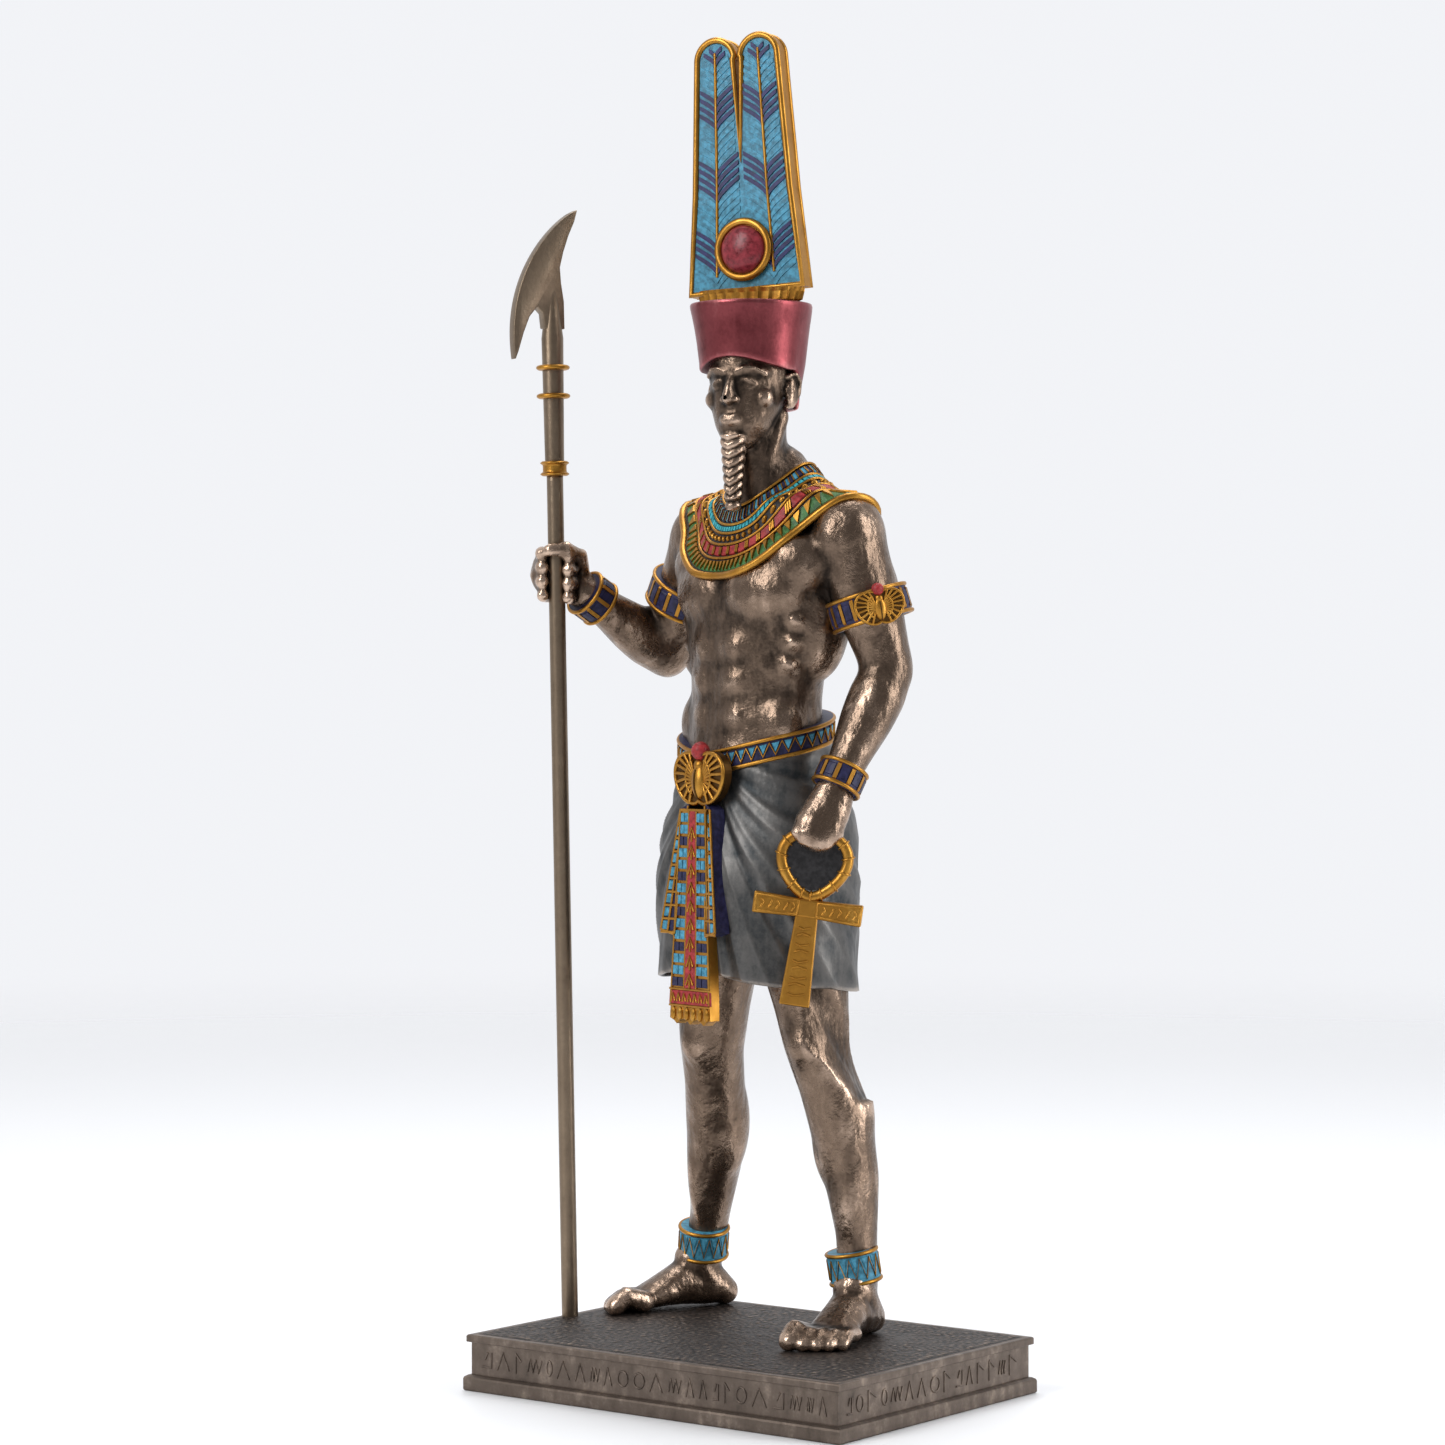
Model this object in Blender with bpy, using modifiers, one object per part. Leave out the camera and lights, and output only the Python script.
# A painted cast figurine of a striding god in a tall plumed crown, on its own plinth.
# It holds a bladed staff in the right hand and an ankh in the left.
# Lengths are in metres. The front faces -Y, the figure's left is +X, and the underside is at z = 0.
import math

import bmesh
import bpy
import numpy as np
from mathutils import Matrix, Vector
from mathutils.bvhtree import BVHTree

# Driving dimensions
PLINTH_WIDTH = 0.0990
PLINTH_DEPTH = 0.0720
PLINTH_HEIGHT = 0.0120
PLINTH_FOOT_HEIGHT = 0.0034
PLINTH_RIM_HEIGHT = 0.0016
PLINTH_DIE_INSET = 0.0013
PLINTH_RIM_INSET = 0.0005
PLINTH_EDGE_ROUND = 0.0004
FIGURE_HEIGHT = 0.2200  # sole to the flat top of the crown
GAP = 0.0003  # between pieces that touch
STAFF_RADIUS = 0.0018
STAFF_SOCKET_DEPTH = 0.0060
STAFF_EDGE_MARGIN = 0.0035  # from the staff's axis to the plinth's side
STAFF_FOOT_FORWARD = 0.0045  # from the plinth's centre line to the staff's foot
FERRULE_HEIGHT = 0.1845  # above the plinth, along the staff
FERRULE_LENGTH = 0.0032
FERRULE_RADIUS = 0.0032
RING_RADIUS = 0.0028
RING_WIRE = 0.0006
RING_HEIGHTS = (0.0174, 0.0236)  # above the ferrule
BLADE_ROOT = 0.0300  # above the ferrule's foot
BLADE_THICKNESS = 0.0026
PLUME_HEIGHT = 0.0576
PLUME_FOOT_HEIGHT = 0.0020
PLUME_BASE_WIDTH = 0.0282
PLUME_TOP_WIDTH = 0.0206
PLUME_SPLIT = 0.0290  # length of the cleft between the two plumes
PLUME_THICKNESS = 0.0052
PLUME_BORDER = 0.0013
PLUME_PANEL_DEPTH = 0.0007
PLUME_LEAN = 2.7  # degrees to the figure's right
SUN_DISC_RADIUS = 0.0067
SUN_DOME_RADIUS = 0.0052
ANKH_HEIGHT = 0.0380
ANKH_SPAN = 0.0230
ANKH_THICKNESS = 0.0030
ANKH_BAR_WIDTH = 0.0046
BAND_PROUD = 0.0008  # how far bracelets stand off the limb
COLLAR_THICKNESS = 0.0012

# The figure's free form is written in shares of its height: one unit is a millimetre at 220 mm
UNIT = FIGURE_HEIGHT / 220.0
SOLE = PLINTH_HEIGHT + GAP
TRUNK_TURN = math.radians(12)  # the trunk faces a little to its own right
HEAD_TURN = math.radians(-10)  # the head looks a little to its own left
TRUNK_AXIS = (-5.8, 9.3)
CROWN_AXIS = (-3.5, 5.2)
SIDES = (1, -1)
BODY_VOXEL = 0.00075
BODY_SMOOTHING = 6
BODY_FACES_KEPT = 0.0165

# Joints of the limbs: place, in units above the sole
SHOULDER = {1: (19.4, 8.0, 171.5), -1: (-23.4, 16.0, 171.5)}
ELBOW = {1: (27.3, 12.5, 141.4), -1: (-38.5, 20.5, 145.5)}
WRIST = {1: (22.8, 0.4, 117.7), -1: (-44.2, -0.2, 158.2)}
HIP = {1: (4.4, 6.8, 109.0), -1: (-16.0, 11.8, 109.0)}
KNEE = {1: (13.6, 6.0, 61.5), -1: (-22.0, 15.5, 59.5)}
ANKLE = {1: (19.5, 12.3, 10.0), -1: (-31.8, 24.8, 10.0)}
TOE = {1: (22.6, -7.5, 2.0), -1: (-42.6, 4.5, 2.0)}
GRIP = (-46.5, -8.4, 162.6)
KNUCKLES = (21.2, -4.4, 107.0)
KNOT_HEIGHT = 117.3
KILT_TURN = 14.0  # degrees towards the figure's right
ARMBAND_TURN = 48.0
COLLAR_LOW_FRONT = 1.0
ANKH_CROSS = (19.0, -5.0, 91.6)
ANKH_TURN = 33.0
ANKH_ROLL = 8.0
BLADE_TURN = 65.0
BLADE_LOW = -5.0
BLADE_HIGH = 28.2
BLADE_INNER = ((4.6, 25.6), (3.2, 22.4), (2.0, 18.8), (1.2, 15.4), (1.5, 12.0), (2.2, 8.0), (2.4, 2.0),
               (-2.4, 2.0), (-2.8, 5.2), (-4.2, 6.6), (-6.0, 4.4), (-7.4, 0.8), (-8.6, -3.2))

bronze_rgba = (0.36, 0.27, 0.21, 1.0)
gold_rgba = (0.72, 0.48, 0.14, 1.0)
steel_rgba = (0.42, 0.37, 0.31, 1.0)
enamel_rgba = (0.10, 0.36, 0.50, 1.0)


def clear_scene():
    for old in list(bpy.data.objects):
        bpy.data.objects.remove(old, do_unlink=True)


def make_collection(name):
    found = bpy.data.collections.new(name)
    bpy.context.scene.collection.children.link(found)
    return found


def make_material(name, colour, roughness, metallic):
    material = bpy.data.materials.new(name)
    material.use_nodes = True
    shader = material.node_tree.nodes["Principled BSDF"]
    shader.inputs["Base Color"].default_value = colour
    shader.inputs["Roughness"].default_value = roughness
    shader.inputs["Metallic"].default_value = metallic
    return material


def from_bmesh(name, bm, collection):
    bmesh.ops.triangulate(bm, faces=bm.faces)
    bmesh.ops.recalc_face_normals(bm, faces=bm.faces)
    mesh = bpy.data.meshes.new(name)
    bm.to_mesh(mesh)
    bm.free()
    made = bpy.data.objects.new(name, mesh)
    collection.objects.link(made)
    return made


def baked(source, name, collection):
    """The evaluated mesh of an object as a new object, and the source removed."""
    bpy.context.view_layer.update()
    graph = bpy.context.evaluated_depsgraph_get()
    mesh = bpy.data.meshes.new_from_object(source.evaluated_get(graph))
    made = bpy.data.objects.new(name, mesh)
    made.matrix_world = source.matrix_world
    collection.objects.link(made)
    bpy.data.objects.remove(source, do_unlink=True)
    return made


def helper(made):
    made.hide_render = True
    made.display_type = "WIRE"
    return made


def boolean(target, other, operation):
    modifier = target.modifiers.new(other.name, "BOOLEAN")
    modifier.operation = operation
    modifier.object = other
    modifier.solver = "EXACT"


def boolean_all(target, collection, operation):
    """One exact boolean with every piece of a collection."""
    for piece in collection.objects:
        helper(piece)
    modifier = target.modifiers.new(collection.name, "BOOLEAN")
    modifier.operation = operation
    modifier.operand_type = "COLLECTION"
    modifier.collection = collection
    modifier.solver = "EXACT"


# Places in the figure
def place(point):
    """A point of the figure, in units above the sole, in metres."""
    x, y, z = point
    return Vector((x, y, z)) * UNIT + Vector((0, 0, SOLE))


def mix(a, b, share):
    return tuple(p + (q - p) * share for p, q in zip(a, b))


def smooth_step(value):
    value = min(1.0, max(0.0, value))
    return value * value * (3 - 2 * value)


def trunk(side, forward, height):
    """A point given as distances to the figure's left and forward of the trunk's axis."""
    side += 3.0 * smooth_step((height - 106) / 70)
    c, s = math.cos(TRUNK_TURN), math.sin(TRUNK_TURN)
    x = TRUNK_AXIS[0] + side * c - forward * s
    y = TRUNK_AXIS[1] - side * s - forward * c
    return (x, y, height)


def head(side, forward, height):
    c, s = math.cos(HEAD_TURN), math.sin(HEAD_TURN)
    x = CROWN_AXIS[0] + side * c - forward * s
    y = CROWN_AXIS[1] - side * s - forward * c
    return (x, y, height)


# Masses that are merged into the body
def frame_of(direction, front):
    """Axes (across, front, along) of a limb that runs along a direction."""
    along = direction.normalized()
    across = along.cross(front)
    if across.length < 1e-6:
        across = along.orthogonal()
    across.normalize()
    return across, across.cross(along).normalized(), along


def ball(bm, centre, radii, turn=0.0, pitch=0.0):
    """An ellipsoid. Turn is about the vertical and pitch tips its top forward, in degrees."""
    matrix = (
        Matrix.Translation(place(centre))
        @ Matrix.Rotation(math.radians(turn), 4, "Z")
        @ Matrix.Rotation(math.radians(pitch), 4, "X")
        @ Matrix.Diagonal((radii[0] * UNIT, radii[1] * UNIT, radii[2] * UNIT, 1))
    )
    bmesh.ops.create_uvsphere(bm, u_segments=20, v_segments=12, radius=1, matrix=matrix)


def limb(bm, stations, front=(0, -1, 0), sides=16):
    """A loft through stations (point, half width, half depth), with rounded ends."""
    points = [place(s[0]) for s in stations]
    front = Vector(front)
    rings = []
    count = len(stations)
    for i, (_, wide, deep) in enumerate(stations):
        direction = points[min(i + 1, count - 1)] - points[max(i - 1, 0)]
        across, forward, along = frame_of(direction, front)
        ends = {0: -1, count - 1: 1}
        domes = [(0.0, 1.0)]
        if i in ends:
            domes = [(0.0, 1.0), (0.6, 0.8), (0.9, 0.436)]
            domes = domes if i else domes[::-1]
        for rise, shrink in domes:
            shift = along * rise * wide * UNIT * ends.get(i, 0)
            rings.append((points[i] + shift, across * wide * shrink, forward * deep * shrink))
    loft_rings(bm, rings, sides)


def loft_rings(bm, rings, sides):
    """Joins ellipses (centre, half axis, half axis) into one closed skin."""
    loops = []
    for centre, across, forward in rings:
        loop = []
        for k in range(sides):
            a = 2 * math.pi * k / sides
            loop.append(bm.verts.new(centre + (across * math.cos(a) + forward * math.sin(a)) * UNIT))
        loops.append(loop)
    for lower, upper in zip(loops, loops[1:]):
        for k in range(sides):
            n = (k + 1) % sides
            bm.faces.new((lower[k], lower[n], upper[n], upper[k]))
    bm.faces.new(loops[0][::-1])
    bm.faces.new(loops[-1])


def trunk_ball(bm, side, forward, height, radii, turn=0.0, pitch=0.0):
    ball(bm, trunk(side, forward, height), radii, turn - math.degrees(TRUNK_TURN), pitch)


def add_trunk(bm):
    # height, half width, half depth, forward of the axis
    stations = (
        (92, 15.0, 11.0, -0.5),
        (100, 19.0, 14.2, -1.0),
        (110, 19.6, 14.6, -1.0),
        (120, 18.2, 13.4, -0.3),
        (128, 17.0, 12.5, 0.2),
        (135, 16.4, 12.0, 0.3),
        (143, 17.2, 12.3, 0.2),
        (151, 19.2, 12.6, 0.0),
        (159, 20.4, 12.4, -0.4),
        (167, 19.8, 11.6, -1.2),
        (174, 16.0, 9.6, -1.8),
        (180, 9.6, 7.6, -1.6),
        (186, 7.0, 6.8, -0.8),
    )
    across = Vector((math.cos(TRUNK_TURN), -math.sin(TRUNK_TURN), 0))
    forward = Vector((-math.sin(TRUNK_TURN), -math.cos(TRUNK_TURN), 0))
    rings = [(place(trunk(0, f, z)), across * wide, forward * deep) for z, wide, deep, f in stations]
    loft_rings(bm, rings, 32)
    for side in SIDES:
        trunk_ball(bm, side * 9.6, 7.7, 158.5, (10.0, 5.4, 7.4), turn=side * 16)
        trunk_ball(bm, side * 15.5, 4.0, 164.0, (8.0, 6.0, 7.0), turn=side * 25)
        for row, height in enumerate((146.5, 139.5, 131.8)):
            trunk_ball(bm, side * 4.3, 10.7 - 0.2 * row, height, (4.2, 2.7, 3.6))
        trunk_ball(bm, side * 4.4, 10.2, 122.0, (4.8, 3.0, 7.0))
        trunk_ball(bm, side * 12.6, 3.4, 130.0, (5.4, 6.0, 8.0))
        for row in range(3):
            height = 151.0 - 4.6 * row
            trunk_ball(bm, side * (16.6 - 0.8 * row), 4.0, height, (2.6, 4.2, 1.9), turn=side * 30, pitch=-24)
        trunk_ball(bm, side * 15.6, -2.6, 155.0, (5.8, 8.2, 16.0))
        trunk_ball(bm, side * 9.6, -9.0, 161.0, (8.6, 4.0, 11.0))
        trunk_ball(bm, side * 4.2, -9.4, 137.0, (4.0, 4.2, 19.0))
        trunk_ball(bm, side * 8.8, -8.4, 101.0, (10.2, 9.4, 11.0))
        slope = [
            (trunk(side * 2.4, -4.0, 185.5), 4.8, 4.8),
            (trunk(side * 8.6, -4.2, 178.8), 5.0, 4.8),
            (trunk(side * 16.4, -3.4, 174.2), 5.4, 5.0),
        ]
        limb(bm, slope)
        clavicle = [
            (trunk(side * 2.0, 5.2, 174.5), 2.4, 2.4),
            (trunk(side * 10.0, 4.6, 175.6), 2.2, 2.2),
            (trunk(side * 18.0, 1.4, 177.0), 2.4, 2.4),
        ]
        limb(bm, clavicle)


def add_neck_and_head(bm):
    neck = [
        (trunk(0, -1.0, 176.0), 8.6, 8.4),
        (mix(trunk(0, 0.4, 184.0), head(0, -2.2, 184.0), 0.4), 7.2, 7.2),
        (head(0, -2.0, 191.0), 6.7, 7.0),
        (head(0, -1.6, 198.0), 6.8, 7.4),
    ]
    limb(bm, neck)
    for side in SIDES:
        strap = [
            (head(side * 6.2, -1.8, 196.0), 1.9, 1.9),
            (mix(head(side * 4.6, 2.0, 186.0), trunk(side * 4.0, 2.0, 186.0), 0.5), 2.0, 2.0),
            (trunk(side * 1.8, 5.2, 176.5), 1.9, 1.9),
        ]
        limb(bm, strap)
    # height, half width, half depth, forward of the crown's axis
    stations = (
        (188.9, 2.6, 2.4, 6.4),
        (190.6, 4.0, 4.6, 4.8),
        (193.4, 5.9, 6.3, 3.6),
        (196.6, 7.2, 7.6, 2.4),
        (200.4, 8.1, 8.9, 1.0),
        (204.0, 8.6, 9.6, 0.2),
        (208.0, 8.9, 10.2, -0.2),
        (213.0, 8.4, 9.8, -0.6),
    )
    turn = HEAD_TURN
    across = Vector((math.cos(turn), -math.sin(turn), 0))
    forward = Vector((-math.sin(turn), -math.cos(turn), 0))
    rings = [(place(head(0, f, z)), across * wide, forward * deep) for z, wide, deep, f in stations]
    loft_rings(bm, rings, 24)
    degrees = -math.degrees(HEAD_TURN)
    ball(bm, head(0, 10.3, 199.6), (1.4, 2.0, 2.0), degrees)
    bridge = [(head(0, 9.4, 204.0), 0.8, 0.8), (head(0, 10.6, 201.6), 0.9, 1.0), (head(0, 11.4, 199.2), 1.3, 1.1)]
    limb(bm, bridge)
    ball(bm, head(0, 9.6, 194.7), (2.8, 1.2, 1.3), degrees)
    ball(bm, head(0, 8.6, 190.6), (3.0, 1.8, 1.7), degrees)
    for side in SIDES:
        ball(bm, head(side * 5.9, 5.4, 199.4), (2.2, 2.4, 2.2), degrees)
        brow = [(head(side * 1.4, 9.4, 205.0), 0.9, 0.9), (head(side * 4.4, 8.6, 205.7), 0.9, 0.9),
                (head(side * 6.8, 5.8, 204.8), 0.9, 0.9)]
        limb(bm, brow)
        ball(bm, head(side * 3.3, 7.9, 202.8), (1.7, 1.2, 1.1), degrees)
        ball(bm, head(side * 9.4, -0.8, 201.0), (1.1, 2.2, 3.9), degrees, pitch=-8)


def add_arm(bm, side):
    shoulder, elbow, wrist = SHOULDER[side], ELBOW[side], WRIST[side]
    ball(bm, mix(shoulder, elbow, 0.06), (8.2, 8.4, 9.4))
    upper = [
        (mix(shoulder, elbow, 0.05), 7.8, 8.2),
        (mix(shoulder, elbow, 0.35), 7.2, 7.6),
        (mix(shoulder, elbow, 0.6), 6.9, 7.4),
        (mix(shoulder, elbow, 0.85), 5.9, 6.2),
        (elbow, 5.7, 5.6),
    ]
    limb(bm, upper)
    lower = [
        (elbow, 5.4, 5.4),
        (mix(elbow, wrist, 0.22), 6.3, 6.0),
        (mix(elbow, wrist, 0.45), 5.9, 5.6),
        (mix(elbow, wrist, 0.75), 4.6, 4.4),
        (wrist, 4.1, 3.7),
    ]
    limb(bm, lower)
    x, y, z = mix(shoulder, elbow, 0.52)
    ball(bm, (x, y - 3.0, z), (5.0, 4.6, 9.0), pitch=4)
    ball(bm, (x, y + 3.2, z + 1.0), (5.4, 4.6, 9.6))
    x, y, z = elbow
    ball(bm, (x + side * 0.4, y + 3.0, z - 0.4), (3.2, 3.0, 3.8))


def bowed(side, share):
    """A point down the shin, which bows outwards and back at the calf."""
    x, y, z = mix(KNEE[side], ANKLE[side], share)
    bow = math.sin(math.pi * share)
    return (x + (1.4 if side > 0 else 0.4) * bow, y + 2.6 * bow, z)


def add_leg(bm, side):
    hip, knee, ankle = HIP[side], KNEE[side], ANKLE[side]
    thigh = [
        (hip, 11.6, 12.4),
        (mix(hip, knee, 0.35), 10.8, 11.6),
        (mix(hip, knee, 0.6), 9.6, 10.0),
        (mix(hip, knee, 0.82), 8.0, 8.2),
        (knee, 7.0, 7.6),
    ]
    limb(bm, thigh)
    shin = [
        (knee, 6.8, 7.4),
        (bowed(side, 0.16), 6.6, 7.0),
        (bowed(side, 0.34), 6.7, 7.2),
        (bowed(side, 0.55), 5.9, 6.2),
        (bowed(side, 0.78), 4.4, 4.9),
        (ankle, 4.1, 4.9),
    ]
    limb(bm, shin)
    x, y, z = knee
    ball(bm, (x, y - 5.4, z + 0.6), (4.2, 3.0, 4.6))
    ball(bm, (x - side * 3.6, y - 2.6, z + 11.0), (4.4, 5.0, 10.0))
    ball(bm, (x + side * 3.6, y - 2.4, z + 17.0), (4.6, 5.4, 14.0))
    x, y, z = bowed(side, 0.34)
    ball(bm, (x - side * 2.2, y + 0.8, z - 1.0), (4.8, 6.2, 12.5), pitch=-2)
    ball(bm, (x + side * 2.2, y + 0.6, z + 1.0), (4.6, 5.8, 12.0), pitch=-2)
    x, y, z = bowed(side, 0.5)
    ball(bm, (x + side * 2.2, y - 3.2, z), (3.0, 3.0, 16.0))


def add_foot(bm, side):
    ankle, toe = ANKLE[side], TOE[side]
    reach = Vector((toe[0] - ankle[0], toe[1] - ankle[1], 0)).normalized()
    outward = Vector((-reach.y, reach.x, 0)) * side

    def spot(forward, out, height):
        return (
            ankle[0] + reach.x * forward + outward.x * out,
            ankle[1] + reach.y * forward + outward.y * out,
            height,
        )

    heel = [(spot(-4.2, 0, 3.6), 4.4, 3.6), (spot(0, 0.2, 6.4), 4.8, 4.8), (spot(2.0, 0, 10.5), 4.6, 4.8)]
    limb(bm, heel, front=reach)
    arch = [
        (spot(-2.0, 0.2, 4.4), 4.6, 4.4),
        (spot(5.0, 0.2, 5.6), 4.8, 5.2),
        (spot(10.0, 0.3, 3.8), 5.2, 3.6),
        (spot(15.0, 0.6, 2.2), 5.6, 2.4),
    ]
    limb(bm, arch, front=(0, 0, 1))
    # toes from the great toe outwards: place across, reach, radius
    toes = ((-4.4, 23.6, 2.5), (-1.3, 23.4, 1.9), (1.2, 22.4, 1.8), (3.5, 20.8, 1.7), (5.6, 18.8, 1.6))
    for out, tip, radius in toes:
        knuckle = [
            (spot(tip - 7.5, out * 0.92, 2.4), radius, radius),
            (spot(tip - 3.0, out, radius + 1.2), radius, radius),
            (spot(tip - 0.6, out, radius * 0.8), radius, radius * 0.9),
        ]
        limb(bm, knuckle, front=(0, 0, 1), sides=10)


def staff_axis():
    """The staff's foot on the plinth and its unit direction, through the grip of the right hand."""
    foot = Vector((-(PLINTH_WIDTH / 2 - STAFF_EDGE_MARGIN), -STAFF_FOOT_FORWARD, PLINTH_HEIGHT))
    return foot, (place(GRIP) - foot).normalized()


def add_right_fist(bm):
    """Four fingers and a thumb round the staff."""
    wrist = WRIST[-1]
    shaft = STAFF_RADIUS / UNIT
    gx, gy, gz = GRIP
    palm = [
        (wrist, 4.0, 3.6),
        ((gx - 0.6, gy + 5.2, gz - 1.0), 5.2, 3.6),
        ((gx - 2.4, gy + 2.0, gz + 0.2), 5.8, 3.0),
    ]
    limb(bm, palm, front=(1, 0, 0))
    for finger in range(4):
        height = gz + 4.6 - 3.05 * finger
        radius = 1.65 if finger < 3 else 1.45
        around = shaft + radius * 0.92
        stations = []
        for step in range(7):
            angle = math.radians(150 - 40 * step)
            point = (gx - around * math.sin(angle), gy + around * math.cos(angle) * 1.05, height - 0.1 * step)
            stations.append((point, radius, radius))
        limb(bm, stations, front=(0, 0, 1), sides=10)
    thumb = [
        ((gx + 1.6, gy + 6.0, gz + 1.4), 2.3, 2.2),
        ((gx + 3.6, gy + 3.4, gz + 4.4), 1.9, 1.9),
        ((gx + 3.2, gy - 0.4, gz + 5.6), 1.8, 1.7),
        ((gx + 0.6, gy - 3.2, gz + 5.2), 1.5, 1.4),
    ]
    limb(bm, thumb, sides=12)


def add_left_fist(bm):
    """The hanging hand that holds the ankh's loop."""
    wrist = WRIST[1]
    kx, ky, kz = KNUCKLES
    palm = [
        (wrist, 4.0, 3.6),
        (mix(wrist, KNUCKLES, 0.45), 4.9, 3.6),
        ((kx, ky, kz + 1.4), 5.4, 3.4),
    ]
    outward = Vector(ankh_facing())
    limb(bm, palm, front=outward)
    across = Vector((outward.y, -outward.x, 0))
    for finger in range(4):
        shift = (finger - 1.5) * 2.55
        start = (kx + across.x * shift, ky + across.y * shift, kz + 0.2)
        curl = (start[0] - outward.x * 3.4, start[1] - outward.y * 3.4, kz - 0.4)
        tip = (start[0] - outward.x * 4.6, start[1] - outward.y * 4.6, kz + 3.0)
        limb(bm, [(start, 1.55, 1.7), (curl, 1.45, 1.5), (tip, 1.35, 1.4)], sides=10)
    base = mix(wrist, KNUCKLES, 0.3)
    side = across * 4.6
    thumb = [
        ((base[0] + side.x * 0.5, base[1] + side.y * 0.5, base[2]), 2.2, 2.2),
        ((base[0] + side.x, base[1] + side.y, base[2] - 3.6), 1.9, 1.9),
        ((kx + side.x * 0.9 + outward.x, ky + side.y * 0.9 + outward.y, kz + 0.6), 1.6, 1.6),
    ]
    limb(bm, thumb, sides=12)


def make_body(collection):
    bm = bmesh.new()
    add_trunk(bm)
    add_neck_and_head(bm)
    for side in SIDES:
        add_arm(bm, side)
        add_leg(bm, side)
        add_foot(bm, side)
    add_right_fist(bm)
    add_left_fist(bm)
    rough = from_bmesh("body_masses", bm, collection)
    remesh = rough.modifiers.new("merge", "REMESH")
    remesh.mode = "VOXEL"
    remesh.voxel_size = BODY_VOXEL
    smooth = rough.modifiers.new("blend", "SMOOTH")
    smooth.factor = 0.5
    smooth.iterations = BODY_SMOOTHING
    reduce = rough.modifiers.new("reduce", "DECIMATE")
    reduce.ratio = BODY_FACES_KEPT
    body = baked(rough, "figure", collection)
    for vertex in body.data.vertices:
        vertex.co.z = max(vertex.co.z, SOLE)
    return body


def ankh_facing():
    """The ankh's face looks forward and to the figure's left."""
    turn = math.radians(ANKH_TURN)
    return (math.sin(turn), -math.cos(turn), 0.0)


# Worked pieces that are joined to the body
def ring_solid(name, rows, collection, bottom, top):
    """A closed solid from rows of points round an axis, fanned to a point at each end."""
    bm = bmesh.new()
    loops = [[bm.verts.new(point) for point in row] for row in rows]
    for lower, upper in zip(loops, loops[1:]):
        for k in range(len(lower)):
            n = (k + 1) % len(lower)
            bm.faces.new((lower[k], lower[n], upper[n], upper[k]))
    for loop, centre in ((loops[0], bottom), (loops[-1], top)):
        middle = bm.verts.new(centre)
        for k in range(len(loop)):
            bm.faces.new((loop[k], loop[(k + 1) % len(loop)], middle))
    return from_bmesh(name, bm, collection)


def make_crown(collection):
    """The flared cap. Its edge arches over the brow and drops behind the ears."""
    def edge(angle):
        back = smooth_step((abs(angle) - math.radians(88)) / math.radians(30))
        return 208.2 - 2.6 * smooth_step(abs(angle) / math.radians(80)) - 8.0 * back

    rows = []
    for share, radius, lift in ((0.0, 10.2, 0), (0.0, 10.9, 0), (0.22, 11.3, 0), (0.62, 12.1, 0),
                                (0.95, 13.1, 0), (1.0, 12.7, 0)):
        row = []
        for k in range(28):
            angle = 2 * math.pi * k / 28
            angle = angle if angle <= math.pi else angle - 2 * math.pi
            back = smooth_step((abs(angle) - 1.4) / 1.0) * (1 - smooth_step(share / 0.5))
            reach = radius - 1.3 * back
            low = edge(angle)
            height = low + (220.0 - low) * share
            row.append(place(head(reach * math.sin(angle), (reach + 0.3) * math.cos(angle), height)))
        rows.append(row)
    return ring_solid("crown", rows, collection, place(head(0, 0, 207.5)), place(head(0, 0, 220.0)))


def make_beard(collection):
    """The braided beard, from under the chin down to a small ball."""
    rows = []
    count = 11
    for i in range(count):
        share = i / (count - 1)
        height = 191.5 - 16.0 * share
        wide = 2.7 - 1.3 * share + (0.28 if i % 2 else -0.1)
        if i >= count - 2:
            wide = 1.7 if i == count - 2 else 1.1
        row = []
        for k in range(10):
            a = 2 * math.pi * k / 10
            row.append(place(head(wide * math.cos(a), 8.2 + 0.2 * share + wide * math.sin(a), height)))
        rows.append(row)
    return ring_solid("beard", rows, collection, place(head(0, 7.0, 191.9)), place(head(0, 8.3, 175.0)))


def draped(surface, centre, angle, rise, limit):
    """How far the skin lies from a centre, looking in from outside along a direction."""
    level = math.cos(rise)
    side, forward = level * math.sin(angle), level * math.cos(angle)
    start = place(trunk(0, 0, centre))
    outer = place(trunk(side * limit, forward * limit, centre + limit * math.sin(rise)))
    across = (outer - start).normalized()
    hit = surface.ray_cast(outer, -across)
    found = (hit[0] - start).length if hit[0] else 0.0
    return found, start, across


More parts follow.
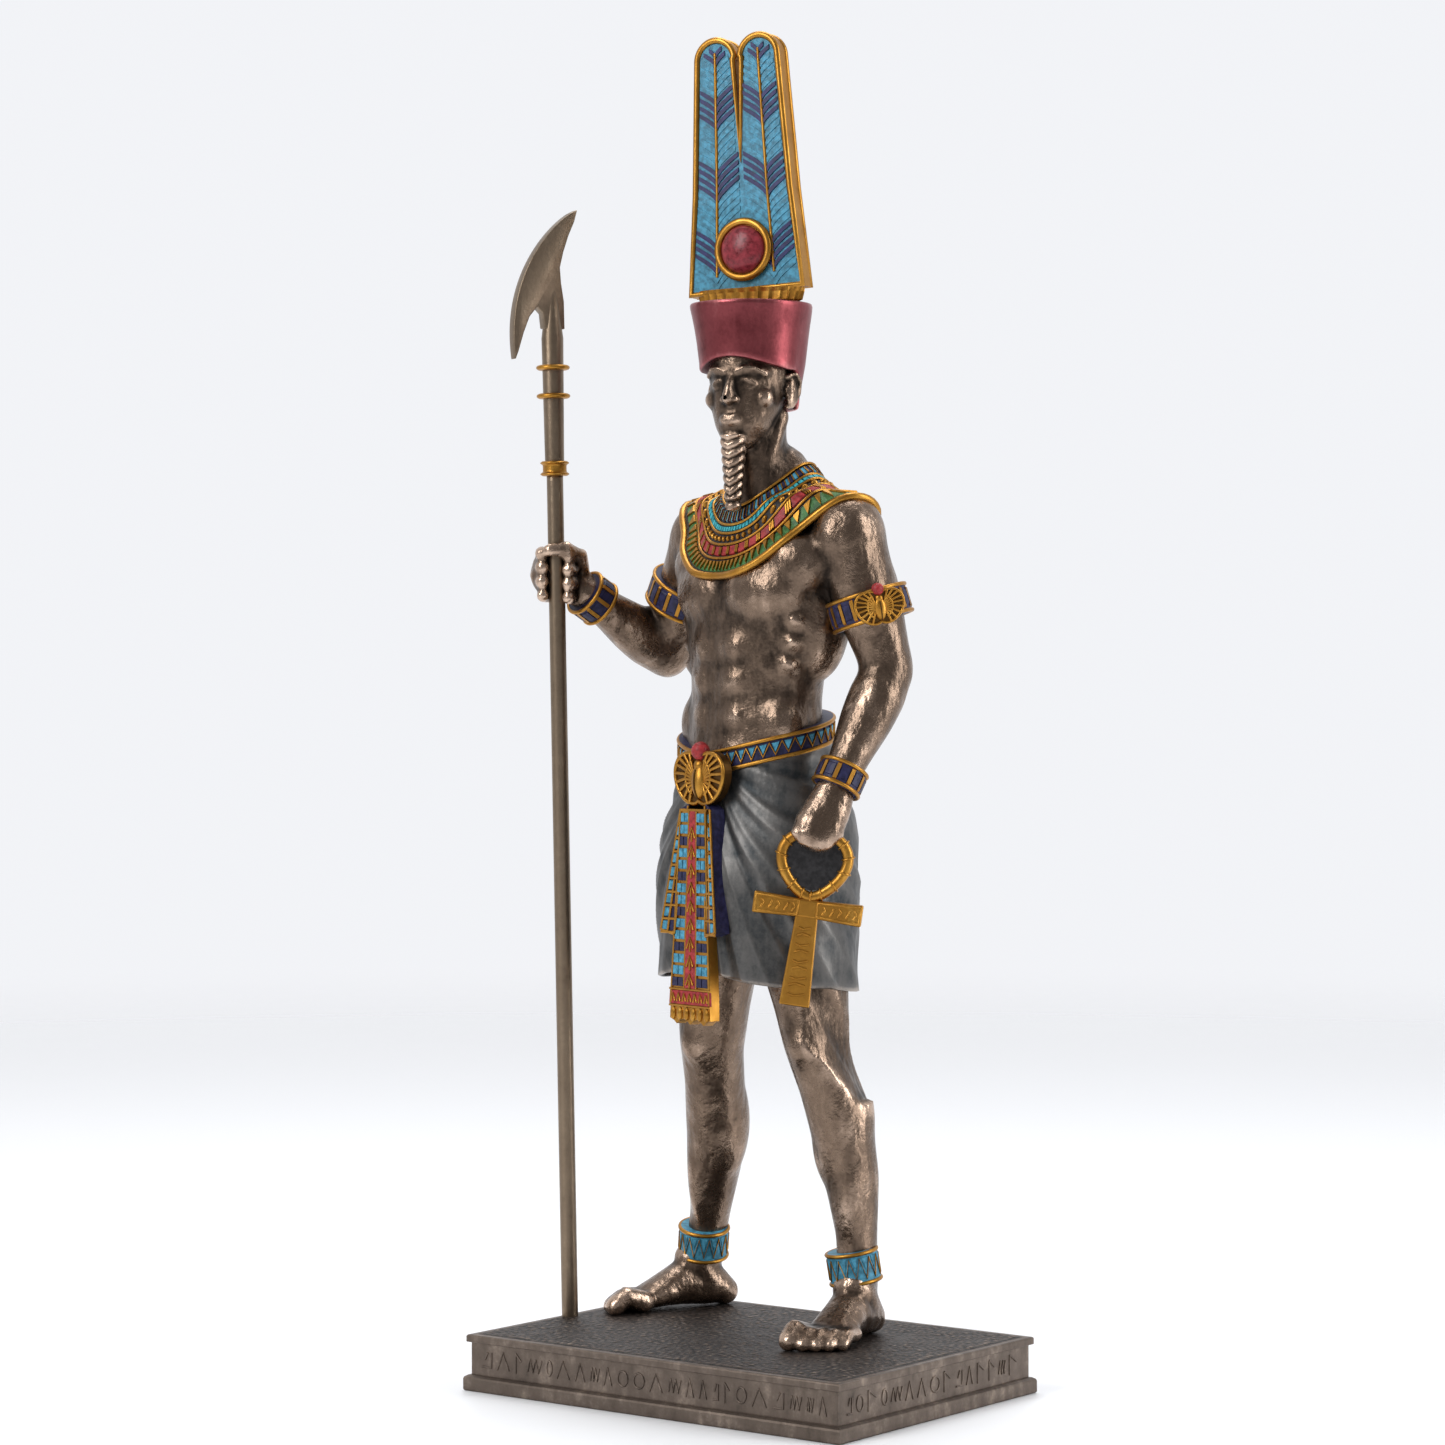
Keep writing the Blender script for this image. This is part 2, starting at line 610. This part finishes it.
def make_collar(body, collection):
    """The broad collar, draped over the shoulders, chest and back."""
    graph = bpy.context.evaluated_depsgraph_get()
    surface = BVHTree.FromObject(body, graph)
    around, steps = 44, 4
    reach = np.zeros((steps + 1, around))
    lines = {}
    for i in range(steps + 1):
        for k in range(around):
            angle = 2 * math.pi * k / around
            side = abs(math.sin(angle)) ** 3.5
            front = max(0.0, math.cos(angle))
            low = math.radians(COLLAR_LOW_FRONT * front + 6 * (1 - front) + 27 * side)
            high = math.radians(64 + 5 * side)
            rise = high + (low - high) * i / steps
            found, start, across = draped(surface, 161.0, angle, rise, 33.0)
            reach[i, k] = found
            lines[i, k] = (start, across)
    for _ in range(4):
        near = (np.roll(reach, 1, 1) + np.roll(reach, -1, 1)) / 2
        reach = np.maximum(reach, near * 0.6 + reach * 0.4)
    rows = []
    inner = [lines[0, k][0] + lines[0, k][1] * (reach[0, k] - 0.0015) for k in range(around)]
    rows.append(inner)
    for i in range(steps + 1):
        raise_by = COLLAR_THICKNESS * (1.0 if 0 < i < steps else 0.85)
        rows.append([lines[i, k][0] + lines[i, k][1] * (reach[i, k] + raise_by) for k in range(around)])
    last = steps
    rows.append([lines[last, k][0] + lines[last, k][1] * (reach[last, k] - 0.0015) for k in range(around)])
    return ring_solid("collar", rows, collection, place(trunk(0, 0, 178)), place(trunk(0, 0, 163)))


def hip(side, forward, height):
    """A point given from the axis of the kilt, which faces a little further round than the trunk."""
    turn = math.radians(KILT_TURN)
    c, s = math.cos(turn), math.sin(turn)
    return (TRUNK_AXIS[0] + side * c - forward * s, TRUNK_AXIS[1] - side * s - forward * c, height)


def waist_height(angle):
    """The height of the belt's middle round the body: low in front, high at the back."""
    back = (1 - math.cos(angle)) / 2
    return 121.6 + 9.2 * back ** 0.8


def hem_height(angle):
    side = abs(math.sin(angle))
    back = max(0.0, -math.cos(angle))
    return 79.0 - 4.5 * side - 4.0 * back


def fold(angle, height):
    """The kilt's folds: a fan that spreads from the knot in front, and upright pleats behind."""
    along = abs(angle - 0.1) * 22
    drop = KNOT_HEIGHT - height
    spread = math.atan2(along, max(2.0, drop + 8))
    distance = min(1.0, math.hypot(along, drop) / 34)
    fan = math.sin(spread * 21 + 0.4) + 0.35 * math.sin(spread * 45)
    upright = math.sin(angle * 19)
    behind = smooth_step((abs(angle) - 2.0) / 0.7)
    return distance * (fan * (1 - behind) + upright * behind)


def kilt_reach(angle, share, height):
    """The kilt's radius from its axis."""
    wide = 18.9 + 6.6 * smooth_step(share / 0.5) - 0.4 * share
    if math.cos(angle) > 0:
        deep = 13.5 + 4.2 * smooth_step(share / 0.6)
    else:
        deep = 14.9 + 5.6 * smooth_step(share / 0.45)
    radius = 1 / math.hypot(math.sin(angle) / wide, math.cos(angle) / deep)
    return radius + 0.5 * fold(angle, height) * smooth_step(share / 0.12)


def make_kilt(collection):
    around, steps = 60, 5
    rows = []
    hollow = ((1.0, -1.7), (0.91, -1.9))
    for share, shrink in [(i / steps, 0.0) for i in range(steps + 1)] + list(hollow):
        row = []
        for k in range(around):
            angle = 2 * math.pi * (k + 0.11) / around
            angle = angle if angle <= math.pi else angle - 2 * math.pi
            top, bottom = waist_height(angle), hem_height(angle)
            height = top + (bottom - top) * share
            reach = kilt_reach(angle, share, height) + shrink
            row.append(place(hip(reach * math.sin(angle), reach * math.cos(angle), height)))
        rows.append(row)
    return ring_solid("kilt", rows, collection, place(hip(0, 0, 124)), place(hip(0, 0, 83)))


def make_belt(collection):
    """A belt with raised edges."""
    rows = []
    for rise, proud in ((-2.6, -2.0), (-2.65, 1.2), (-1.8, 1.2), (-1.7, 0.8), (1.7, 0.8), (1.8, 1.2),
                        (2.65, 1.2), (2.6, -2.0)):
        row = []
        for k in range(28):
            angle = 2 * math.pi * (k + 0.37) / 28
            angle = angle if angle <= math.pi else angle - 2 * math.pi
            deep = 13.2 if abs(angle) < math.pi / 2 else 14.6
            radius = 1 / math.hypot(math.sin(angle) / 18.6, math.cos(angle) / deep) + proud
            height = waist_height(angle) + rise
            row.append(place(hip(radius * math.sin(angle), radius * math.cos(angle), height)))
        rows.append(row)
    return ring_solid("belt", rows, collection, place(hip(0, 0, 124)), place(hip(0, 0, 130)))


def slab(name, outline, thickness, matrix, collection):
    """A plate from an outline (x, z) in units, its face towards -Y, placed by a matrix in metres."""
    bm = bmesh.new()
    half = thickness / 2
    front = [bm.verts.new(matrix @ (Vector((x, -half, z)) * UNIT)) for x, z in outline]
    back = [bm.verts.new(matrix @ (Vector((x, half, z)) * UNIT)) for x, z in outline]
    count = len(outline)
    bm.faces.new(front)
    bm.faces.new(back[::-1])
    for k in range(count):
        n = (k + 1) % count
        bm.faces.new((front[k], back[k], back[n], front[n]))
    return from_bmesh(name, bm, collection)


def faced(centre, turn, lean=0.0, roll=0.0):
    """A matrix that puts a plate at a place: turned about the vertical, leant back, rolled in its plane."""
    return (
        Matrix.Translation(centre)
        @ Matrix.Rotation(math.radians(turn), 4, "Z")
        @ Matrix.Rotation(math.radians(lean), 4, "X")
        @ Matrix.Rotation(math.radians(roll), 4, "Y")
    )


def make_apron(collection):
    """The hanging front panel, with a streamer on each side and a fringe of lobes below."""
    pieces = []
    top, bottom = 112.0, 70.0
    lobes = []
    for k in range(13):
        share = k / 12
        x = 6.9 - 13.8 * share
        lobes.append((x, bottom - 3.8 + 1.1 * abs(math.cos(share * math.pi * 3))))
    outline = [(-6.8, bottom), (-4.3, top), (4.3, top), (6.8, bottom)] + lobes
    turn = -KILT_TURN
    main_face = [(x, z - 91) for x, z in outline]
    centre = place(hip(2.0, 17.4, 91))
    pieces.append(slab("apron", main_face, 2.6, faced(centre, turn, lean=-1.2), collection))
    strip = [(-1.9, -20.5), (-1.2, 20.5), (1.2, 20.5), (1.9, -20.5)]
    centre = place(hip(2.0, 17.7, 91))
    pieces.append(slab("apron_strip", strip, 3.0, faced(centre, turn, lean=-1.2), collection))
    for side in SIDES:
        edge = [(side * 3.0, 18.0), (side * 5.2, 17.0), (side * 9.8, -9.0), (side * 5.8, -10.0)]
        centre = place(hip(2.0, 16.0, 95))
        matrix = faced(centre, turn - side * 9, lean=-3.0)
        pieces.append(slab("streamer", edge, 3.6, matrix, collection))
    return pieces


def wings(centre, turn, lean, roll, size, thickness, name, collection):
    """A winged beetle: a plate in the shape of spread wings, a domed body and a ball above."""
    outline = []
    for k in range(16):
        a = 2 * math.pi * k / 16
        spread = 0.62 + 0.38 * abs(math.cos(a)) ** 0.8
        lift = 0.16 * math.cos(a) ** 2
        outline.append((size * spread * math.cos(a), size * (0.9 * math.sin(a) * spread + lift)))
    plate = slab(name, outline, thickness, faced(centre, turn, lean, roll), collection)
    bm = bmesh.new()
    matrix = faced(centre, turn, lean, roll)
    body = matrix @ Matrix.Translation(Vector((0.07, -thickness * 0.36, -0.05 * size)) * UNIT)
    scale = Matrix.Diagonal((0.28 * size * UNIT, 0.2 * size * UNIT, 0.5 * size * UNIT, 1))
    bmesh.ops.create_uvsphere(bm, u_segments=8, v_segments=6, radius=1, matrix=body @ scale)
    shell = from_bmesh(name + "_body", bm, collection)
    bm = bmesh.new()
    spot = matrix @ Matrix.Translation(Vector((0.05, -thickness * 0.23, 0.72 * size)) * UNIT)
    bmesh.ops.create_uvsphere(bm, u_segments=8, v_segments=6, radius=0.27 * size * UNIT, matrix=spot)
    sun = from_bmesh(name + "_ball", bm, collection)
    return [plate, shell, sun]


def band(name, centre, axis, radius, height, collection, squash=1.0):
    """A bracelet with two raised edges round a limb."""
    axis = Vector(axis).normalized()
    across = axis.orthogonal().normalized()
    front = axis.cross(across)
    half = height / 2
    edge = BAND_PROUD / UNIT
    rows = []
    profile = ((-half, radius), (-half * 0.9, radius + edge), (-half * 0.55, radius + edge * 0.45),
               (half * 0.55, radius + edge * 0.45), (half * 0.9, radius + edge), (half, radius))
    for along, reach in profile:
        row = []
        for k in range(12):
            a = 2 * math.pi * k / 12
            spread = across * math.cos(a) + front * math.sin(a) * squash
            row.append(place(Vector(centre) + axis * along + spread * reach))
        rows.append(row)
    ends = [place(Vector(centre) + axis * along) for along in (-half, half)]
    return ring_solid(name, rows, collection, ends[0], ends[1])


def make_bands(collection):
    pieces = []
    for side in SIDES:
        shoulder, elbow, wrist, ankle = SHOULDER[side], ELBOW[side], WRIST[side], ANKLE[side]
        arm = Vector(elbow) - Vector(shoulder)
        share = 0.56 if side > 0 else 0.5
        pieces.append(band("armband", mix(shoulder, elbow, share), arm, 8.3, 6.4, collection))
        fore = Vector(wrist) - Vector(elbow)
        pieces.append(band("bracelet", mix(elbow, wrist, 0.95), fore, 4.8, 5.2, collection))
        shin = Vector(ankle) - Vector(KNEE[side])
        pieces.append(band("anklet", mix(KNEE[side], ankle, 0.905), shin, 5.1, 7.0, collection))
    return pieces


def make_buckles(collection):
    pieces = wings(place(hip(2.0, 15.6, KNOT_HEIGHT + 1.0)), -KILT_TURN, 0, 0, 8.4, 2.4, "buckle", collection)
    shoulder, elbow = SHOULDER[1], ELBOW[1]
    x, y, z = mix(shoulder, elbow, 0.56)
    turn = math.radians(ARMBAND_TURN)
    spot = (x + 9.2 * math.sin(turn), y - 9.2 * math.cos(turn), z)
    pieces += wings(place(spot), ARMBAND_TURN, 8, -10, 5.4, 1.4, "arm_beetle", collection)
    return pieces


def rod(name, start, end, radius, sides, collection):
    """A plain round bar between two points, in metres."""
    bm = bmesh.new()
    along = end - start
    matrix = Matrix.Translation((start + end) / 2) @ along.to_track_quat("Z", "Y").to_matrix().to_4x4()
    bmesh.ops.create_cone(
        bm, cap_ends=True, segments=sides, radius1=radius, radius2=radius, depth=along.length, matrix=matrix
    )
    return from_bmesh(name, bm, collection)


# The other cast pieces
def make_plinth(parts, cutters, material):
    """A stepped block: rounded foot moulding, sunk die and a thin rim."""
    levels = (
        (0.0, PLINTH_EDGE_ROUND),
        (PLINTH_EDGE_ROUND, 0.0),
        (PLINTH_FOOT_HEIGHT - 2 * PLINTH_EDGE_ROUND, 0.0),
        (PLINTH_FOOT_HEIGHT, PLINTH_EDGE_ROUND * 2),
        (PLINTH_FOOT_HEIGHT, PLINTH_DIE_INSET),
        (PLINTH_HEIGHT - PLINTH_RIM_HEIGHT, PLINTH_DIE_INSET),
        (PLINTH_HEIGHT - PLINTH_RIM_HEIGHT, PLINTH_RIM_INSET),
        (PLINTH_HEIGHT - PLINTH_EDGE_ROUND, PLINTH_RIM_INSET),
        (PLINTH_HEIGHT, PLINTH_RIM_INSET + PLINTH_EDGE_ROUND),
    )
    bm = bmesh.new()
    loops = []
    for height, inset in levels:
        x, y = PLINTH_WIDTH / 2 - inset, PLINTH_DEPTH / 2 - inset
        corners = ((-x, -y), (x, -y), (x, y), (-x, y))
        loops.append([bm.verts.new((a, b, height)) for a, b in corners])
    for lower, upper in zip(loops, loops[1:]):
        for k in range(4):
            n = (k + 1) % 4
            bm.faces.new((lower[k], lower[n], upper[n], upper[k]))
    bm.faces.new(loops[0][::-1])
    bm.faces.new(loops[-1])
    plinth = from_bmesh("plinth", bm, parts)
    foot, direction = staff_axis()
    hole = rod("staff_hole", foot - direction * STAFF_SOCKET_DEPTH, foot + direction * 0.004,
               STAFF_RADIUS + GAP, 24, cutters)
    boolean(plinth, helper(hole), "DIFFERENCE")
    plinth.data.materials.append(material)
    return plinth


def plume_outline(inset):
    """The outline (x, z) of the double plume, in metres from the middle of its foot."""
    base = PLUME_BASE_WIDTH / 2 - inset
    top = PLUME_TOP_WIDTH / 2 - inset
    lobe = PLUME_TOP_WIDTH / 4 - inset
    crest = PLUME_HEIGHT - inset
    shoulder = crest - lobe
    cleft = PLUME_HEIGHT - PLUME_SPLIT + inset * 3
    right = [(base, PLUME_FOOT_HEIGHT + inset), (top + (base - top) * 0.45, crest * 0.42), (top, shoulder)]
    middle = PLUME_TOP_WIDTH / 4
    for k in range(1, 8):
        a = math.pi * k / 8
        right.append((middle + lobe * math.cos(a), shoulder + lobe * math.sin(a)))
    right.append((max(0.0004 + inset, middle - lobe), shoulder))
    left = [(-x, z) for x, z in reversed(right)]
    return right + [(0.0, cleft)] + left


def make_plumes(parts, cutters, material):
    """Two tall feathers side by side on a fluted foot, with a sun disc low in front."""
    turn = -math.degrees(HEAD_TURN)
    crown_top = place(head(0, 0, 220.0)) + Vector((0, 0, GAP))
    matrix = faced(crown_top, turn)
    leant = matrix @ Matrix.Rotation(math.radians(-PLUME_LEAN), 4, "Y")

    def plate(name, inset, thickness, forward, collection):
        outline = [(x / UNIT, z / UNIT) for x, z in plume_outline(inset)]
        shift = Matrix.Translation(Vector((0, -forward, 0)))
        return slab(name, outline, thickness / UNIT, leant @ shift, collection)

    board = plate("plumes", 0.0, PLUME_THICKNESS, 0.0, parts)
    for side in SIDES:
        forward = side * (PLUME_THICKNESS / 2 + 0.001 - PLUME_PANEL_DEPTH)
        panel = plate("plume_panel", PLUME_BORDER, 0.002, forward, cutters)
        boolean(board, helper(panel), "DIFFERENCE")
    flutes = 26
    rows = []
    for height, wide, depth in ((0.0, 0.0103, 0.0), (0.0003, 0.0108, 0.0003), (PLUME_FOOT_HEIGHT, 0.0112, 0.0003),
                                (PLUME_FOOT_HEIGHT + 0.0009, 0.0114, 0.0)):
        row = []
        for k in range(flutes * 2):
            a = math.pi * k / flutes
            reach = wide - depth * (k % 2)
            row.append(matrix @ Vector((reach * math.cos(a) * 1.12, reach * math.sin(a) * 0.42, height)))
        rows.append(row)
    low, high = matrix @ Vector((0, 0, 0)), matrix @ Vector((0, 0, PLUME_FOOT_HEIGHT + 0.0009))
    foot = ring_solid("plume_foot", rows, cutters, low, high)
    boolean(board, helper(foot), "UNION")
    disc_height = 0.0113
    front = leant @ Vector((0, -PLUME_THICKNESS / 2 - 0.0002, disc_height))
    back = leant @ Vector((0, 0, disc_height))
    outward = front - back
    disc = rod("sun_disc", back, front + outward * 0.3, SUN_DISC_RADIUS, 24, cutters)
    boolean(board, helper(disc), "UNION")
    bm = bmesh.new()
    spot = Matrix.Translation(leant @ Vector((0, -PLUME_THICKNESS / 2 - 0.0002, disc_height)))
    tilt = Matrix.Rotation(math.radians(turn), 4, "Z")
    scale = Matrix.Diagonal((SUN_DOME_RADIUS, SUN_DOME_RADIUS * 0.5, SUN_DOME_RADIUS, 1))
    bmesh.ops.create_uvsphere(bm, u_segments=14, v_segments=8, radius=1, matrix=spot @ tilt @ scale)
    dome = from_bmesh("sun_dome", bm, cutters)
    boolean(board, helper(dome), "UNION")
    board.data.materials.append(material)
    return board


def make_staff(parts, cutters, steel, cast):
    """The plain rod, and the cast head that caps it."""
    foot, direction = staff_axis()
    join = foot + direction * FERRULE_HEIGHT
    socket = 0.0022
    shaft = rod("staff_rod", foot - direction * (STAFF_SOCKET_DEPTH - GAP), join + direction * (socket - GAP),
                STAFF_RADIUS, 20, parts)
    shaft.data.materials.append(steel)
    profile = [
        (0.0, FERRULE_RADIUS - 0.0005),
        (0.0005, FERRULE_RADIUS),
        (FERRULE_LENGTH - 0.0005, FERRULE_RADIUS),
        (FERRULE_LENGTH, FERRULE_RADIUS - 0.0005),
        (FERRULE_LENGTH, 0.0021),
    ]
    for height in RING_HEIGHTS:
        profile += [(height - RING_WIRE, 0.0023), (height - RING_WIRE, RING_RADIUS + 0.0004),
                    (height, RING_RADIUS + 0.001), (height + RING_WIRE, RING_RADIUS + 0.0004),
                    (height + RING_WIRE, 0.0023)]
    profile += [(BLADE_ROOT, 0.0025), (BLADE_ROOT + 0.004, 0.0019), (BLADE_ROOT + 0.012, 0.0013)]
    turn = direction.to_track_quat("Z", "Y").to_matrix().to_4x4()
    matrix = Matrix.Translation(join) @ turn
    sides = 14
    rows = []
    for height, radius in profile:
        rows.append([
            matrix @ Vector((radius * math.cos(2 * math.pi * k / sides), radius * math.sin(2 * math.pi * k / sides),
                             height))
            for k in range(sides)
        ])
    ends = (matrix @ Vector((0, 0, 0)), matrix @ Vector((0, 0, BLADE_ROOT + 0.0125)))
    top = ring_solid("staff_head", rows, parts, ends[0], ends[1])
    blade = make_blade(join + direction * BLADE_ROOT, cutters)
    boolean(top, helper(blade), "UNION")
    hole = rod("rod_socket", join - direction * 0.002, join + direction * socket, STAFF_RADIUS + GAP, 20, cutters)
    boolean(top, helper(hole), "DIFFERENCE")
    top.data.materials.append(cast)
    return shaft, top


def make_blade(root, collection):
    """A crescent blade: one long convex edge outside, a hooked notch inside by the shaft."""
    # across from the shaft's axis (towards the edge) and above the blade's root, in millimetres
    outer = []
    for k in range(16):
        share = k / 15
        arc = (1 - share ** 2.3) ** 0.8 - 0.10 * (1 - share) ** 3
        outer.append((5.3 - 16.2 * arc, BLADE_LOW + (BLADE_HIGH - BLADE_LOW) * share))
    inner = list(BLADE_INNER)
    return slab("blade", outer + inner, BLADE_THICKNESS / UNIT, faced(root, BLADE_TURN, lean=0.7), collection)


def ankh_loop(grow):
    """The outline of the ankh's loop, a drop with its point down, grown by a margin in units."""
    points = []
    top = ANKH_HEIGHT / UNIT * 0.46 + grow
    low = 1.2 - grow * 2.2
    for k in range(22):
        a = 2 * math.pi * k / 22
        share = (1 + math.cos(a)) / 2
        width = (9.7 + grow) * math.sin(a) * (0.42 + 0.58 * share ** 0.55)
        points.append((width, low + (top - low) * share))
    return points


def ankh_slabs(grow, collection):
    """The arms, the shaft and the loop of the ankh, grown by a margin in units."""
    matrix = faced(place(ANKH_CROSS), ANKH_TURN, roll=ANKH_ROLL)
    half = ANKH_SPAN / UNIT / 2 + grow
    wide = ANKH_BAR_WIDTH / UNIT / 2
    thick = ANKH_THICKNESS / UNIT + 2 * grow
    drop = ANKH_HEIGHT / UNIT * 0.54 + grow
    end, waist = wide + grow, wide * 0.8 + grow
    arms = [(-half, -end), (0, -waist), (half, -end), (half, end), (0, waist), (-half, end)]
    low, high = wide * 1.4 + grow, wide * 0.95 + grow
    shaft = [(-low, -drop), (low, -drop), (high, 2.0), (-high, 2.0)]
    return [
        slab("ankh_arms", arms, thick, matrix, collection),
        slab("ankh_shaft", shaft, thick - 0.24, matrix, collection),
        slab("ankh_loop", ankh_loop(grow), thick - 0.5, matrix, collection),
    ]


def make_ankh(parts, cutters, material):
    """A looped cross with flared arms. The loop's eye is webbed and sunk."""
    made, shaft, loop = ankh_slabs(0, parts)
    made.name = "ankh"
    for piece in (shaft, loop):
        parts.objects.unlink(piece)
        cutters.objects.link(piece)
        boolean(made, helper(piece), "UNION")
    matrix = faced(place(ANKH_CROSS), ANKH_TURN, roll=ANKH_ROLL)
    thick = ANKH_THICKNESS / UNIT
    for side in SIDES:
        shift = Matrix.Translation(Vector((0, side * thick * 0.72, 0)) * UNIT)
        eye = slab("ankh_eye", ankh_loop(-2.8), thick, matrix @ shift, cutters)
        boolean(made, helper(eye), "DIFFERENCE")
    made.data.materials.append(material)
    return made


def main():
    clear_scene()
    parts = make_collection("figurine")
    cutters = make_collection("cutters")
    bronze = make_material("bronze", bronze_rgba, 0.34, 1.0)
    gold = make_material("gold", gold_rgba, 0.38, 1.0)
    steel = make_material("steel", steel_rgba, 0.36, 1.0)
    enamel = make_material("enamel", enamel_rgba, 0.5, 0.0)
    make_plinth(parts, cutters, bronze)
    make_plumes(parts, cutters, enamel)
    make_staff(parts, cutters, steel, bronze)
    make_ankh(parts, cutters, gold)
    body = make_body(parts)
    worked = make_collection("worked_pieces")
    make_crown(worked)
    make_beard(worked)
    make_collar(body, worked)
    make_kilt(worked)
    make_belt(worked)
    make_apron(worked)
    make_bands(worked)
    make_buckles(worked)
    clearances = make_collection("clearances")
    foot, direction = staff_axis()
    rod("grip_bore", foot, foot + direction * 0.2, STAFF_RADIUS + GAP, 16, clearances)
    ankh_slabs(GAP / UNIT, clearances)
    boolean_all(body, clearances, "DIFFERENCE")
    boolean_all(body, worked, "UNION")
    body.data.materials.append(bronze)


main()
